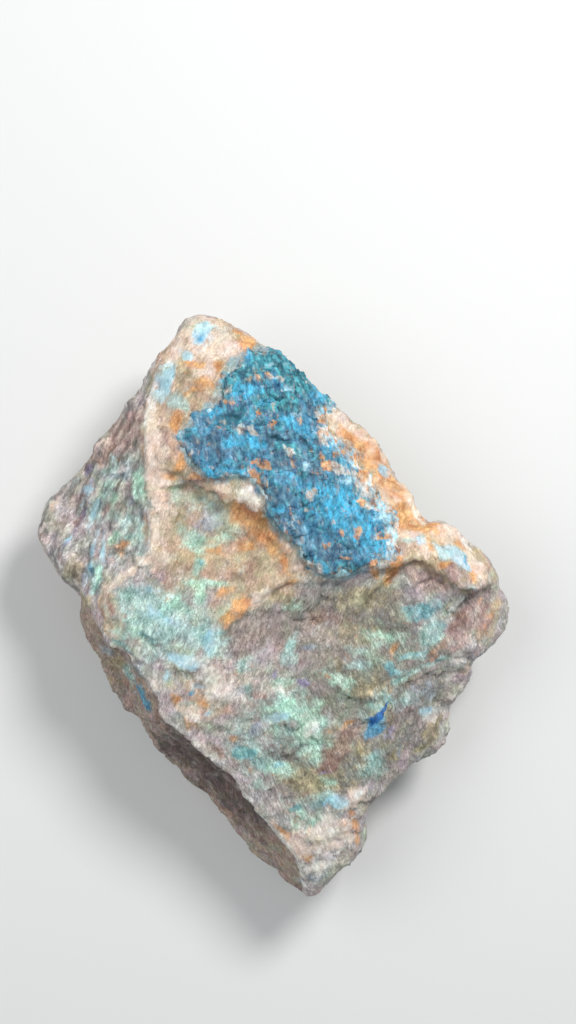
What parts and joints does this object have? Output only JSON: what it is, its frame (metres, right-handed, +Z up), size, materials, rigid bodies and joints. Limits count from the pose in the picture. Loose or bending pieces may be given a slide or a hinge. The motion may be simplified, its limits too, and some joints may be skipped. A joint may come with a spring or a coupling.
{
  "type": "linarite specimen",
  "caption": "Hand-sized diamond-shaped piece of broken ore rock lying on its back, its upper face crusted with bright blue linarite and stained green, teal, cream and rust",
  "frame": {"origin": "on the level that the rock rests on, under the middle of its box", "axes": "+Z up, out of the mineral-covered face; +Y towards the pointed end, along the longest side of the box; +X to the right as that face is looked down on"},
  "size_m": [0.0798, 0.0976, 0.0294],
  "materials": {
    "matrix_stone": "matt broken quartz-rich rock, mottled grey, cream, pale green and turquoise, with rusty stains and a blue crust"
  },
  "bodies": {
    "root": {"specimen_rock": "matrix_stone"}
  },
  "joints": []
}
